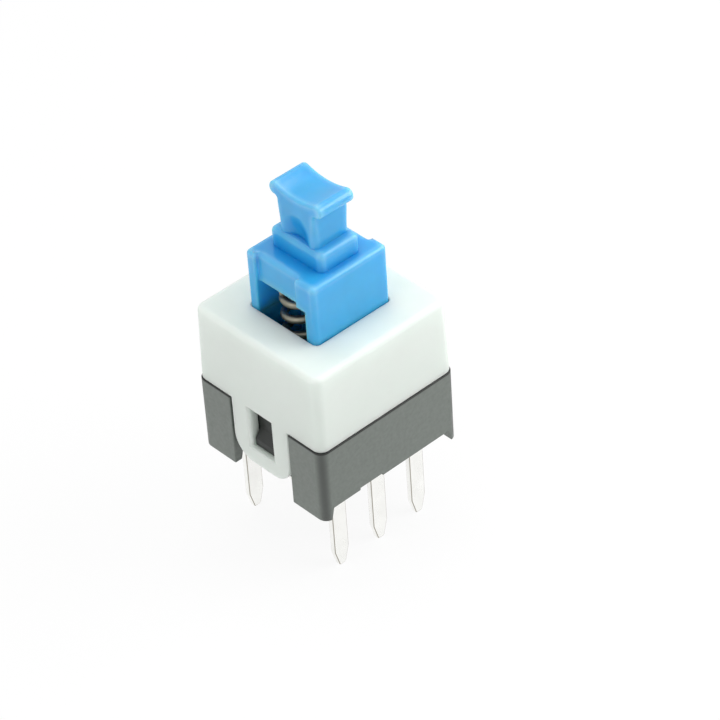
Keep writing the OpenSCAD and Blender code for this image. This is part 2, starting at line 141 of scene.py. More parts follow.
class SwitchSizes(PropertyGroup):
    """Radii of the soft edges, and sizes of the plunger and the spring."""

    base_edge: length("Base edges", "Radius on the base's outer edges", 0.05)
    housing_edge: length("Housing edges", "Radius on the housing's sharp edges", 0.07)
    window_edge: length("Window edges", "Radius on the outer upright edges of the tabs' windows", 0.2)
    hole_edge: length("Hole edge", "Radius round the housing's hole", 0.04)
    joint_height: length("Joint height", "Height of the joint between the housing and the base", 4.1)
    block_length: length("Block length", "Width of the plunger's block along X", 4.6)
    block_width: length("Block width", "Width of the plunger's block along Y", 4.5)
    block_edge: length("Block edges", "Radius of the block's corners and top edges", 0.22)
    channel_depth: length("Channel depth", "Depth of the channels in the block's X faces", 0.22)
    channel_far: length("Channel reach", "Reach of both channels towards +Y", 1.62)
    channel_near: length("Spring channel reach", "Reach of the channel over the spring towards -Y", 1.0)
    cam_near: length("Cam channel reach", "Reach of the channel over the heart cam towards -Y", 1.3)
    channel_edge: length("Channel edges", "Radius on the channels' upright edges", 0.1)
    pocket_width: length("Pocket width", "Width of the spring pocket", 3.26)
    pocket_back: length("Pocket back", "Where the spring pocket ends along X", 0.16)
    pocket_top: length("Pocket top", "Height of the spring pocket's ceiling", 9.9)
    plinth_length: length("Plinth length", "Width of the plinth along X", 2.4)
    plinth_width: length("Plinth width", "Width of the plinth along Y", 3.4)
    plinth_edge: length("Plinth edges", "Radius of the plinth's corners and top edges", 0.26)
    stem_edge: length("Stem edges", "Radius on the ends of the stem's head", 0.14)
    neck_edge: length("Neck edges", "Radius on the neck's upright edges", 0.28)
    stem_height: length("Stem height", "Height of the stem above the block", 3.5)
    stem_length: length("Stem length", "Length of the stem's lips along X", 2.1)
    plinth_height: length("Plinth height", "Height of the plinth under the neck", 1.0)
    neck_width: length("Neck width", "Width of the neck along Y", 2.44)
    neck_fillet: length("Neck fillet", "Radius under the lips", 0.14)
    head_width: length("Head width", "Width of the head over both lips", 3.42)
    lip_radius: length("Lip radius", "Radius of the rolled lips", 0.34)
    lip_flat: length("Lip flat", "Flat between each lip and the dish", 0.05)
    dish_depth: length("Dish depth", "Depth of the dish between the lips", 0.24)
    dent_depth: length("Dent depth", "Depth of the dents in the neck's X faces, at the foot", 0.28)
    dent_rise: length("Dent rise", "Height of the dents above the plinth", 1.42)
    inner_edge: length("Inner edges", "Radius on edges inside the switch", 0.025)
    tight_edge: length("Tight edges", "Radius on edges beside a narrow ledge at the joint", 0.01)
    strip_edge: length("Terminal edges", "Radius on the terminals' sheared edges", 0.05)
    spring_wire: length("Spring wire", "Diameter of the return spring's wire", 0.38)
    spring_turns: FloatProperty(
        name="Spring turns", description="Turns of the return spring", default=9.75, min=3
    )
    spring_start: FloatProperty(
        name="Spring start",
        description="Angle of the spring's lower end",
        default=math.radians(250),
        subtype="ANGLE",
    )
    segments: IntProperty(
        name="Edge segments", description="Steps across each rounded edge", default=4, min=1, max=8
    )


class SwitchColours(PropertyGroup):
    """Colours of the finishes."""

    base: colour("Base", "Dark moulded base", (0.125, 0.145, 0.128))
    housing: colour("Housing", "Milky nylon of the housing", (0.79, 0.86, 0.80))
    plunger: colour("Plunger", "Blue moulding of the plunger", (0.035, 0.4, 0.75))
    # Painted shade: deep blue laid round the plinth and in the stem's dents
    plunger_painted_shade: colour("Plunger hollows", "Blue round the plinth and in the stem's dents", (0, 0.28, 0.69))
    # Painted light: brighter blue in the pocket, standing in for light through its walls
    plunger_lit: colour("Plunger pocket", "Blue in the pocket, lit through its walls", (0.06, 0.6, 1.0))
    # Painted highlight: pale blue along the plunger's edges
    plunger_painted_highlight: colour("Plunger edges", "Pale blue along the plunger's edges", (0.22, 0.56, 0.8))
    spring: colour("Spring", "Drawn wire of the spring", (0.22, 0.21, 0.17))
    lock: colour("Lock pin", "Drawn wire of the lock pin", (0.62, 0.62, 0.6))
    leaf: colour("Contact leaf", "Rolled strip of the moving contacts", (0.8, 0.58, 0.28))
    tin: colour("Terminals", "Tin plating of the terminals", (0.98, 0.98, 0.95))
    sheared: colour("Sheared edges", "Bare edges of the terminals", (0.2, 0.17, 0.11))
    floor: colour("Floor", "Pale floor", (0.93, 0.93, 0.93))


class SwitchStage(PropertyGroup):
    """Camera of the picture and levels of the light."""

    azimuth: FloatProperty(
        name="Azimuth", description="Camera's turn about Z", default=math.radians(-40.77), subtype="ANGLE"
    )
    elevation: FloatProperty(
        name="Elevation", description="Camera's height angle", default=math.radians(39.46), subtype="ANGLE"
    )
    roll: FloatProperty(
        name="Roll", description="Camera's roll", default=math.radians(-4.077), subtype="ANGLE"
    )
    distance: length("Distance", "Camera's distance from the origin", 158.7)
    focal_px: FloatProperty(
        name="Focal length", description="Focal length in pixels of the frame", default=3361.5
    )
    centre_px: FloatVectorProperty(
        name="Origin",
        description="Where the origin falls in the frame, in pixels",
        size=2,
        default=(330.98, 438.76),
    )
    ambient: FloatProperty(
        name="Ambient", description="Level of the light from all round", default=0.5, min=0
    )
    key: FloatProperty(
        name="Key", description="Power of the soft light from the right", default=0.07, unit="POWER"
    )
    fill: FloatProperty(
        name="Fill", description="Power of the soft light from the left", default=0.14, unit="POWER"
    )
    top: FloatProperty(
        name="Top", description="Power of the soft light from above", default=0.21, unit="POWER"
    )


class SwitchSettings(PropertyGroup):
    """All settings of the switch."""

    sizes: PointerProperty(type=SwitchSizes)
    colours: PointerProperty(type=SwitchColours)
    stage: PointerProperty(type=SwitchStage)


# Materials


def put(tree, kind, sockets=None, **settings):
    """Adds a node, sets its options, and links or sets its sockets."""
    made = tree.nodes.new(kind)
    for key, value in settings.items():
        setattr(made, key, value)
    for key, value in (sockets or {}).items():
        if isinstance(value, bpy.types.NodeSocket):
            tree.links.new(value, made.inputs[key])
        else:
            made.inputs[key].default_value = value
    return made


def new_tree(name):
    """A fresh material with an empty node tree and its output."""
    made = bpy.data.materials.new(name)
    made.use_nodes = True
    tree = made.node_tree
    tree.nodes.clear()
    return made, tree, put(tree, "ShaderNodeOutputMaterial")


def compute(tree, operation, *values):
    """A Math node on sockets or numbers."""
    return put(tree, "ShaderNodeMath", dict(enumerate(values)), operation=operation).outputs[0]


def own_axes(tree):
    """The piece's own X, Y and Z."""
    coords = put(tree, "ShaderNodeTexCoord").outputs["Object"]
    return put(tree, "ShaderNodeSeparateXYZ", {"Vector": coords}).outputs


def object_noise(tree, scale, detail=2.0, stretch=(1, 1, 1)):
    """Noise over the piece's own coordinates, in waves per metre."""
    coords = put(tree, "ShaderNodeTexCoord").outputs["Object"]
    placed = put(tree, "ShaderNodeMapping", {"Vector": coords, "Scale": stretch}).outputs["Vector"]
    sockets = {"Vector": placed, "Scale": scale, "Detail": detail}
    return put(tree, "ShaderNodeTexNoise", sockets).outputs["Fac"]


def spread(tree, value, low, high, start=0.3, end=0.7, ease="LINEAR"):
    """Maps a value between start and end onto low to high, and holds it there."""
    sockets = {"Value": value, "From Min": start, "From Max": end, "To Min": low, "To Max": high}
    return put(tree, "ShaderNodeMapRange", sockets, interpolation_type=ease).outputs["Result"]


def mixed(tree, factor, first, second):
    """Mixes two colours, each a socket or red, green and blue, by a factor."""
    first, second = (c if isinstance(c, bpy.types.NodeSocket) else (*c, 1) for c in (first, second))
    sockets = {"Factor": factor, "A": first, "B": second}
    return put(tree, "ShaderNodeMix", sockets, data_type="RGBA").outputs[2]


def shade(rgb, level):
    """A colour made darker or lighter."""
    return tuple(min(1.0, c * level) for c in rgb)


def grain_bump(tree, scale, height, strength):
    """Fine moulded grain, as bump."""
    sockets = {"Height": object_noise(tree, scale, 3), "Distance": height, "Strength": strength}
    return put(tree, "ShaderNodeBump", sockets).outputs["Normal"]


def nearness(tree, reach, inside):
    """How much of the piece itself lies close round a point: outside it in hollows, inside it at edges."""
    air = put(
        tree, "ShaderNodeAmbientOcclusion", {"Distance": reach}, samples=12, inside=inside, only_local=True
    ).outputs["AO"]
    return spread(tree, air, 1, 0, start=0.5, end=0.95)


def surface(tree, out, sockets):
    """Gives the material a Principled shader with these sockets."""
    shader = put(tree, "ShaderNodeBsdfPrincipled", sockets)
    tree.links.new(shader.outputs[0], out.inputs["Surface"])


def plunger_finish(colours, level):
    """Glossy blue moulding: cloudy pigment, and a painted highlight of pale blue along its edges.

    Its dents, and its hollows near a level, get painted shade in deep blue. Hollows well below the level get
    painted light, as if lit through the walls.
    """
    made, tree, out = new_tree("plunger_blue")
    cloud = spread(tree, object_noise(tree, 650, 3), 0, 1)
    blue = mixed(tree, cloud, shade(colours.plunger, 0.94), shade(colours.plunger, 1.05))
    above = compute(tree, "SUBTRACT", own_axes(tree)[2], level)
    near_level = spread(tree, compute(tree, "ABSOLUTE", above), 1, 0, start=0.45 * MM, end=0.7 * MM)
    below = spread(tree, above, 1, 0, start=-1.2 * MM, end=-0.8 * MM)
    raised = spread(tree, above, 0.15, 1, start=-2.25 * MM, end=-0.75 * MM)
    # Painted shade: hollows near the level, found by local occlusion, and the marked dents turn deep blue
    valley_shade = compute(tree, "MULTIPLY", nearness(tree, VALLEY_REACH, inside=False), near_level)
    marked = put(tree, "ShaderNodeAttribute", attribute_name="dent").outputs["Fac"]
    deep = compute(tree, "MAXIMUM", valley_shade, spread(tree, marked, 0, 0.75, start=0, end=0.7))
    # Painted light: hollows well below the level turn brighter blue, as if lit through the walls
    lit = compute(tree, "MULTIPLY", nearness(tree, POCKET_REACH, inside=False), below)
    # Painted highlight: edges above the block, found by occlusion inside the piece, turn pale blue
    edge_highlight = compute(tree, "MULTIPLY", nearness(tree, RIDGE_REACH, inside=True), raised)
    blue = mixed(tree, deep, blue, colours.plunger_painted_shade)
    blue = mixed(tree, lit, blue, colours.plunger_lit)
    blue = mixed(tree, edge_highlight, blue, colours.plunger_painted_highlight)
    surface(tree, out, {
        "Base Color": blue,
        "Roughness": spread(tree, object_noise(tree, 2600), 0.18, 0.26),
        "Specular IOR Level": 0.65,
        "Subsurface Weight": 0.75,
        "Subsurface Radius": (0.25, 0.7, 1.0),
        "Subsurface Scale": 0.9 * MM,
        "Normal": grain_bump(tree, 7000, 0.003 * MM, 0.25),
    })
    return made


def housing_finish(rgb, low, high):
    """Milky nylon: faint clouds, soft light inside the wall, satin grain, and painted shade that darkens it
    towards the base.
    """
    made, tree, out = new_tree("housing_nylon")
    cloud = spread(tree, object_noise(tree, 420, 4), 0, 1)
    milk = mixed(tree, cloud, shade(rgb, 0.965), shade(rgb, 1.02))
    # Painted shade: the colour darkens from the top down to the joint
    clear = spread(tree, own_axes(tree)[2], 0, 1, start=low, end=high)
    surface(tree, out, {
        "Base Color": mixed(tree, clear, shade(rgb, 0.89), milk),
        "Roughness": spread(tree, object_noise(tree, 2200), 0.42, 0.54),
        "Subsurface Weight": 0.6,
        "Subsurface Radius": (0.9, 1.0, 0.95),
        "Subsurface Scale": 1.0 * MM,
        "Normal": grain_bump(tree, 6000, 0.004 * MM, 0.4),
    })
    return made


def base_finish(rgb, joint):
    """Satin grey moulding: fine specks, painted shade on upright corners standing in for a dark reflection, a
    dark joint, and painted shade in the tab grooves.
    """
    made, tree, out = new_tree("base_grey")
    x, y, z = own_axes(tree)
    x, y = (compute(tree, "ABSOLUTE", axis) for axis in (x, y))
    nearer = compute(tree, "MINIMUM", x, y)
    # Painted shade on the upright corners, standing in for the dark reflection they show
    corner = spread(tree, nearer, 0, 1, start=3.76 * MM, end=4.1 * MM, ease="SMOOTHSTEP")
    # Painted shade in the tab grooves round the catches; the seam at the top of the base is a dark joint line
    groove = spread(tree, y, 1, 0, start=1.9 * MM, end=2.02 * MM)
    sunk = spread(tree, x, 1, 0, start=4.12 * MM, end=4.2 * MM)
    seam = spread(tree, z, 0, 1, start=joint - 0.1 * MM, end=joint - 0.06 * MM)
    dark_seam_and_groove_shade = compute(tree, "MAXIMUM", seam, compute(tree, "MULTIPLY", groove, sunk))
    speck = spread(tree, object_noise(tree, 5200, 4), 0, 1)
    grey = mixed(tree, speck, shade(rgb, 0.9), shade(rgb, 1.12))
    grey = mixed(tree, corner, grey, shade(rgb, 0.4))
    grey = mixed(tree, dark_seam_and_groove_shade, grey, shade(rgb, 0.12))
    surface(tree, out, {
        "Base Color": grey,
        "Roughness": spread(tree, object_noise(tree, 3000), 0.36, 0.48),
        "Specular IOR Level": spread(tree, dark_seam_and_groove_shade, 0.75, 0.4, start=0, end=1),
        "Normal": grain_bump(tree, 8000, 0.004 * MM, 0.5),
    })
    return made


def metal_finish(name, rgb, rough, stretch, tone=0.12, sheared=None):
    """Drawn wire or plated strip: streaks along the draw, duller patches, and sheared rims where given."""
    made, tree, out = new_tree(name)
    streak = object_noise(tree, METAL_SCALE, 3, stretch)
    patch = object_noise(tree, METAL_SCALE / 5, 3)
    metal = mixed(tree, spread(tree, patch, 0, 1), shade(rgb, 1 - tone), shade(rgb, 1 + tone / 2))
    if sheared is not None:
        rim = put(tree, "ShaderNodeAttribute", attribute_name="rim").outputs["Fac"]
        metal = mixed(tree, rim, metal, sheared)
    bump = put(tree, "ShaderNodeBump", {"Height": streak, "Distance": 0.003 * MM, "Strength": 0.4})
    surface(tree, out, {
        "Base Color": metal,
        "Metallic": 1.0,
        "Roughness": spread(tree, streak, rough - 0.06, rough + 0.08),
        "Normal": bump.outputs["Normal"],
    })
    return made


# Meshes


def new_piece(name, points, faces, smooth=True):
    """An object at the origin from an array of points, in metres, and its faces."""
    mesh = bpy.data.meshes.new(name)
    mesh.from_pydata(np.asarray(points).tolist(), [], [list(f) for f in faces])
    mesh.validate()
    if smooth:
        shell = bmesh.new()
        shell.from_mesh(mesh)
        bmesh.ops.recalc_face_normals(shell, faces=shell.faces)
        shell.to_mesh(mesh)
        shell.free()
        mesh.shade_smooth()
    made = bpy.data.objects.new(name, mesh)
    bpy.context.scene.collection.objects.link(made)
    return made


def merged_mesh(node, level=None):
    """The node's triangles joined at their corners, each flat face made whole, closed off above a level."""
    mesh = bmesh.new()
    mesh.from_mesh(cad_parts[node].data)
    bmesh.ops.remove_doubles(mesh, verts=mesh.verts, dist=WELD)
    bmesh.ops.dissolve_degenerate(mesh, edges=mesh.edges, dist=WELD)
    if level is not None:
        everything = mesh.verts[:] + mesh.edges[:] + mesh.faces[:]
        bmesh.ops.bisect_plane(
            mesh, geom=everything, plane_co=(0, 0, level), plane_no=(0, 0, 1), clear_outer=True
        )
        bmesh.ops.triangle_fill(mesh, use_beauty=True, edges=[e for e in mesh.edges if e.is_boundary])
    bmesh.ops.dissolve_limit(
        mesh, angle_limit=FLAT_ANGLE, use_dissolve_boundaries=False, verts=mesh.verts, edges=mesh.edges
    )
    return mesh


def softened(node, name, rule, segments, level=None):
    """A copy of a CAD node, up to a level, with its edges rounded. rule(middle in mm) gives their radii."""
    mesh = merged_mesh(node, level)
    weight = mesh.edges.layers.float.new("bevel_weight_edge")
    radii = {}
    for edge in mesh.edges:
        edge.smooth = True
        if edge.calc_face_angle(0.0) > EDGE_ANGLE:
            radii[edge] = rule((edge.verts[0].co + edge.verts[1].co) / (2 * MM))
    widest = max(radii.values())
    for edge, radius in radii.items():
        edge[weight] = radius / widest
    for face in mesh.faces:
        face.smooth = True
    made = bpy.data.objects.new(name, bpy.data.meshes.new(name))
    mesh.to_mesh(made.data)
    mesh.free()
    bpy.context.scene.collection.objects.link(made)
    bevel = made.modifiers.new("soft edges", "BEVEL")
    bevel.limit_method = "WEIGHT"
    bevel.width = widest
    bevel.segments = segments
    bevel.use_clamp_overlap = False
    bevel.loop_slide = False
    made.modifiers.new("flat faces", "WEIGHTED_NORMAL").keep_sharp = True
    return made


def tube_faces(count, around):
    """Faces over a row of rings, each joined to the next, with a lid at both ends."""
    i, k = np.meshgrid(np.arange(count - 1), np.arange(around), indexing="ij")
    a, c = i * around + k, i * around + (k + 1) % around
    skin = np.stack([a, c, c + around, a + around], axis=-1).reshape(-1, 4)
    return list(skin) + [np.arange(around)[::-1], (count - 1) * around + np.arange(around)]


def swept_wire(name, path, normal, radius, sides=16):
    """A round wire: path + radius * (cos b * N + sin b * T x N), with T along the path and N square to it."""
    along = np.gradient(path, axis=0)
    along /= np.linalg.norm(along, axis=1, keepdims=True)
    binormal = np.cross(along, normal)
    b = np.linspace(0, 2 * np.pi, sides, endpoint=False)[None, :, None]
    rings = path[:, None] + radius * (np.cos(b) * normal[:, None] + np.sin(b) * binormal[:, None])
    return new_piece(name, rings.reshape(-1, 3), tube_faces(len(path), sides))


def strip_outline(node):
    """The outline of a flat strip's +Y face, counter-clockwise seen from -Y, as an array of X and Z."""
    mesh = merged_mesh(node)
    face = max((f for f in mesh.faces if f.normal.y > 0.99), key=lambda f: f.calc_area())
    points = np.array([(v.co.x, v.co.z) for v in face.verts])
    mesh.free()
    area = np.sum(points[:, 0] * np.roll(points[:, 1], -1) - np.roll(points[:, 0], -1) * points[:, 1])
    return points if area > 0 else points[::-1]


def skinned(name, outlines, along, axis):
    """A closed piece skinned over a row of outlines, each set at its own place along an axis."""
    rings = np.insert(outlines, axis, np.broadcast_to(along[:, None], outlines.shape[:2]), axis=2)
    return new_piece(name, rings.reshape(-1, 3), tube_faces(*outlines.shape[:2]))


def stepped_in(outline, inset):
    """An outline moved inwards along its normals by a row of insets, one for all points or one for each."""
    before = outline - np.roll(outline, 1, axis=0)
    after = np.roll(outline, -1, axis=0) - outline
    before /= np.linalg.norm(before, axis=1, keepdims=True)
    after /= np.linalg.norm(after, axis=1, keepdims=True)
    inward = np.stack([-(before + after)[:, 1], (before + after)[:, 0]], axis=1)
    share = np.sum(inward * np.stack([-after[:, 1], after[:, 0]], axis=1), axis=1)
    inward /= np.maximum(share, LEAST_MITRE)[:, None]
    return outline[None] + inset.reshape(len(inset), -1, 1) * inward[None]


def rounded_corners(corners, radii, inset, steps):
    """A polygon with each corner turned into an arc, for a row of insets.

    Its sides move in by the inset. A corner that turns left keeps its centre, so its radius is the radius
    less the inset, and one that turns right has the radius plus the inset. The arc starts where the side
    before it touches the circle, and turns by the corner's own angle.
    """
    before = corners - np.roll(corners, 1, axis=0)
    after = np.roll(corners, -1, axis=0) - corners
    before /= np.linalg.norm(before, axis=1, keepdims=True)
    after /= np.linalg.norm(after, axis=1, keepdims=True)
    turn = np.arctan2(before[:, 0] * after[:, 1] - before[:, 1] * after[:, 0], np.sum(before * after, axis=1))
    side = np.sign(turn)
    normal = np.stack([-before[:, 1], before[:, 0]], axis=1)
    next_normal = np.stack([-after[:, 1], after[:, 0]], axis=1)
    mitre = (normal + next_normal) / (1 + np.sum(normal * next_normal, axis=1))[:, None]
    moved = corners[None] + inset[:, None, None] * mitre[None]
    radius = np.maximum(radii[None] - side[None] * inset[:, None], LEAST_RADIUS)
    reach = radius * np.tan(np.abs(turn) / 2)[None]
    centre = moved - reach[..., None] * before[None] + (side[None] * radius)[..., None] * normal[None]
    s = np.linspace(0, 1, steps + 1)[None, None, :] * turn[None, :, None]
    start = (-side[:, None] * normal)[None, :, None]
    swung = np.stack([
        start[..., 0] * np.cos(s) - start[..., 1] * np.sin(s),
        start[..., 0] * np.sin(s) + start[..., 1] * np.cos(s),
    ], axis=-1)
    points = centre[:, :, None] + radius[:, :, None, None] * swung
    return points.reshape(len(inset), -1, 2)


def rim_steps(low, high, radius, steps):
    """Insets radius * (1 - cos v) and places side -+ radius * (1 - sin v) over a quarter turn at each rim."""
    v = np.linspace(0, np.pi / 2, steps + 1)[:, None]
    inset = radius * np.concatenate([1 - np.sin(v), 1 - np.cos(v)])
    return inset, np.concatenate([low + radius * (1 - np.cos(v)), high - radius * (1 - np.sin(v))])


def domed(low, high, radius, steps):
    """A plain foot, then insets radius * (1 - cos v) and heights high - radius * (1 - sin v), v to pi / 2."""
    v = np.linspace(0, np.pi / 2, steps + 1)
    return np.append(0, radius * (1 - np.cos(v))), np.append(low, high - radius * (1 - np.sin(v)))


def rounded_slab(name, outline, low, high, radius, steps, axis):
    """A slab with rounded rims: the outline stepped in along its normals by the rim's steps.

    The attribute "rim" is sin(pi * (1 - inset / radius)): high along both rims, 0 on the side and the faces.
    """
    inset, along = rim_steps(low, high, radius, steps)
    made = skinned(name, stepped_in(outline, inset), along[:, 0], axis)
    rim = made.data.attributes.new("rim", "FLOAT", "POINT")
    share = np.sin(np.pi * (1 - inset[:, 0] / radius))
    rim.data.foreach_set("value", np.repeat(share, len(outline)).astype(np.float32))
    made.modifiers.new("flat faces", "WEIGHTED_NORMAL")
    return made


def arc(y, z, radius, start, end, count):
    """Points of a circular arc about (y, z), with its angles in degrees."""
    a = np.radians(np.linspace(start, end, count))
    return np.stack([y + radius * np.cos(a), z + radius * np.sin(a)], axis=1)


def stem_outline(sizes):
    """The stem in section across its lips, in Y and Z above the block, counter-clockwise.

    From the foot, sunk in the plinth: neck, fillet, rolled lip, then the dish as an arc whose radius is
    (half * half + depth * depth) / (2 * depth), and the same again mirrored in Y.
    """
    half_neck, lip, fillet = sizes.neck_width / 2, sizes.lip_radius, sizes.neck_fillet
    lip_y, lip_z = sizes.head_width / 2 - lip, sizes.stem_height - lip
    foot, neck_top = sizes.plinth_height - STEM_SUNK, lip_z - lip - fillet
    half, depth = lip_y - sizes.lip_flat, sizes.dish_depth
    bowl = (half * half + depth * depth) / (2 * depth)
    spread_deg = math.degrees(math.asin(half / bowl))
    side = np.concatenate([
        np.linspace((half_neck, foot), (half_neck, neck_top), 40)[:-1],
        arc(half_neck + fillet, neck_top, fillet, 180, 90, 10),
        arc(lip_y, lip_z, lip, -90, 90, 24),
    ])
    dish = arc(0, sizes.stem_height - depth + bowl, bowl, 270 + spread_deg, 270 - spread_deg, 36)
    return np.concatenate([side, dish, side[::-1] * (-1, 1)])


def combine(piece, other, operation):
    """Cuts another piece out of a piece or joins it on, with their modifiers applied, and removes it."""
    tool = piece.modifiers.new("combine", "BOOLEAN")
    tool.object = other
    tool.operation = operation
    tool.solver = "EXACT"
    bpy.context.view_layer.update()
    whole = piece.evaluated_get(bpy.context.evaluated_depsgraph_get())
    mesh = bpy.data.meshes.new_from_object(whole)
    if not mesh.polygons:
        raise RuntimeError(f"{piece.name}: nothing was left by {operation} with {other.name}")
    piece.modifiers.clear()
    bpy.data.objects.remove(other)
    mesh.name = piece.name
    piece.data = mesh


def dress(piece, body, slot, material, *nodes):
    """Gives a piece its finish, and puts it on its body in place of its CAD nodes."""
    piece.data.materials.clear()
    piece.data.materials.append(material)
    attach(piece, body)
    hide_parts(*nodes)


def finish_node(node, material):
    """Gives a CAD node its finish."""
    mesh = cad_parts[node].data
    mesh.materials.clear()
    mesh.materials.append(material)


def settings():
    """The scene's settings of the switch."""
    return bpy.context.scene.push_switch


class SWITCH_OT_housing(Operator):
    """Make the milky housing with soft edges round its hole, tabs and windows"""

    bl_idname = "push_switch.housing"
    bl_label = "Housing"

    def execute(self, context):
        sizes = settings().sizes
        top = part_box("housing")[1].z / MM
        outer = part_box("housing")[1].x / MM
        joint = sizes.joint_height / MM

        def rule(middle):
            if middle.z > top - TOUCH:
                return sizes.hole_edge
            if max(abs(middle.x), abs(middle.y)) < outer - HOUSING_WALL:
                return sizes.tight_edge if abs(middle.z - joint) < TOUCH else sizes.inner_edge
            in_window = abs(middle.y) < JAMB_REACH and JAMB_FOOT < middle.z < joint - TOUCH
            return sizes.window_edge if in_window and abs(middle.x) > outer - TOUCH else sizes.housing_edge

        piece = softened("housing", "housing_shell", rule, sizes.segments)
        finish = housing_finish(settings().colours.housing, sizes.joint_height, top * MM)
        dress(piece, "body", "housing", finish, "housing")
        return {"FINISHED"}


class SWITCH_OT_base(Operator):
    """Make the dark base with its corner posts, catches and feet"""

    bl_idname = "push_switch.base"
    bl_label = "Base"

    def execute(self, context):
        sizes = settings().sizes
        joint = sizes.joint_height / MM

        def rule(middle):
            reach = max(abs(middle.x), abs(middle.y))
            if reach < BASE_LEDGE and abs(middle.z - joint) < TOUCH:
                return sizes.tight_edge
            return sizes.base_edge if reach > BASE_INSIDE else sizes.inner_edge

        piece = softened("base", "base_block", rule, sizes.segments)
        dress(piece, "body", "base", base_finish(settings().colours.base, sizes.joint_height), "base")
        return {"FINISHED"}


class SWITCH_OT_plunger(Operator):
    """Make the blue plunger with its rounded stem, channels and spring pocket"""

    bl_idname = "push_switch.plunger"
    bl_label = "Plunger"

    def execute(self, context):
        sizes = settings().sizes
        block_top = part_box("plunger")[1].z - sizes.stem_height
        finish = plunger_finish(settings().colours, block_top + PAINTED_SHADE_RISE)
        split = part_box("housing")[1].z - SKIRT_SPLIT

        def rule(middle):
            # The ledge round the skirt runs out to nothing at its corners, so it stays sharp
            return 0 if abs(middle.z - SKIRT_LEDGE) < TOUCH else sizes.inner_edge

        skirt = softened("plunger", "plunger_skirt", rule, max(sizes.segments // 2, 1), split)
        body = self.block(sizes, split, block_top)
        combine(body, self.plinth(sizes, block_top), "UNION")
        combine(body, self.stem(sizes, block_top), "UNION")
        self.mark_dents(body, sizes, block_top)
        body.data.set_sharp_from_angle(angle=CREASE_ANGLE)
        body.modifiers.new("flat faces", "WEIGHTED_NORMAL").keep_sharp = True
        for piece in (skirt, body):
            dress(piece, "plunger", "plunger", finish, "plunger")
        return {"FINISHED"}

    @staticmethod
    def stem(sizes, block_top):
        """The stem, rounded at both X ends, more at its neck, with a dent in each X face of the neck.

        A dent is depth * (1 - r) ** 2 deep, with r = s * s + q * q held within 1, s = height above the plinth
        / rise and q = -1 to 1 across the face. Its grid closes the neck's end, and one flat face the head's.
        """
        half, low = sizes.stem_length / 2, block_top + sizes.plinth_height
        outline = stem_outline(sizes) + (0, block_top)
        # The radius eases from the neck's to the head's
        up = np.clip((outline[:, 1] - low) / sizes.dent_rise - EASE_START, 0, 1)
        radius = sizes.neck_edge + (sizes.stem_edge - sizes.neck_edge) * up * up * (3 - 2 * up)
        inset, along = rim_steps(-half, half, radius, 8)
        rings = stepped_in(outline, inset)
        count, around = rings.shape[:2]
        points = np.insert(rings, 0, along, axis=2).reshape(-1, 3)
        rows = np.arange(np.argmax(outline[:, 1] > low + sizes.dent_rise + sizes.stem_edge) + 1)
        q = np.linspace(1, -1, 33)[1:-1]
        z = rings[-1][rows, 1:]
        y = rings[-1][rows, :1] * q
        s = np.maximum((z - low) / sizes.dent_rise, 0)
        dent = 1 - np.minimum(s * s + q * q, 1)
        x = half - sizes.dent_depth * dent * dent
        faces = tube_faces(count, around)[:-2]
        for side, start in ((-1, 0), (1, (count - 1) * around)):
            inner = len(points) + np.arange(y.size).reshape(y.shape)
            grid = np.concatenate([rows[:, None] + start, inner, around - 1 - rows[:, None] + start], axis=1)
            points = np.concatenate([points, np.stack([side * x, y, z + 0 * y], axis=-1).reshape(-1, 3)])
            cells = np.stack([grid[:-1, :-1], grid[1:, :-1], grid[1:, 1:], grid[:-1, 1:]], axis=-1)
            faces += list(cells.reshape(-1, 4))
            faces.append(np.concatenate([np.arange(rows[-1], around - rows[-1]) + start, inner[-1, ::-1]]))
            faces.append(grid[0])
        return new_piece("stem", points, faces)

    @staticmethod
    def mark_dents(body, sizes, block_top):
        """Gives the body the attribute "dent": 1 - r in the stem's dents, with their r, and 0 elsewhere."""
        points = np.empty(len(body.data.vertices) * 3, np.float32)
        body.data.vertices.foreach_get("co", points)
        x, y, z = points.reshape(-1, 3).T
        s = (z - block_top - sizes.plinth_height) / sizes.dent_rise
        q = y / (sizes.neck_width / 2 - sizes.neck_edge)
        on_stem = (np.abs(x) < sizes.stem_length / 2 + TOUCH * MM) & (s > -TOUCH)
        dent = np.where(on_stem, 1 - np.minimum(s * s + q * q, 1), 0).astype(np.float32)
        body.data.attributes.new("dent", "FLOAT", "POINT").data.foreach_set("value", dent)

    @staticmethod
    def block(sizes, low, high):
        """The block: its outline with both channels, carried up, rounded in at the top, less the pocket."""
        x, y, deep = sizes.block_length / 2, sizes.block_width / 2, sizes.channel_depth
        far, near, cam = sizes.channel_far, sizes.channel_near, sizes.cam_near
        corners = np.array([
            (-x, -y), (x, -y), (x, -cam), (x - deep, -cam), (x - deep, far), (x, far),
            (x, y), (-x, y), (-x, far), (-x + deep, far), (-x + deep, -near), (-x, -near),
        ])
        outer, inner = sizes.block_edge, sizes.channel_edge
        radii = np.array([outer, outer] + [inner] * 4 + [outer, outer] + [inner] * 4)
        inset, along = domed(low, high, outer, 8)
        piece = skinned("plunger_body", rounded_corners(corners, radii, inset, 6), along, 2)
        wide, back, ceiling = sizes.pocket_width / 2, sizes.pocket_back, sizes.pocket_top
        pocket = np.array([(-2 * x, -wide), (back, -wide), (back, wide), (-2 * x, wide)])
        cutter = skinned("pocket", np.stack([pocket, pocket]), np.array([low - POCKET_SUNK, ceiling]), 2)
        combine(piece, cutter, "DIFFERENCE")
        soften = piece.modifiers.new("soft edges", "BEVEL")
        soften.limit_method = "ANGLE"
        soften.angle_limit = CUT_ANGLE
        soften.width = sizes.channel_edge
        soften.segments = sizes.segments
        return piece

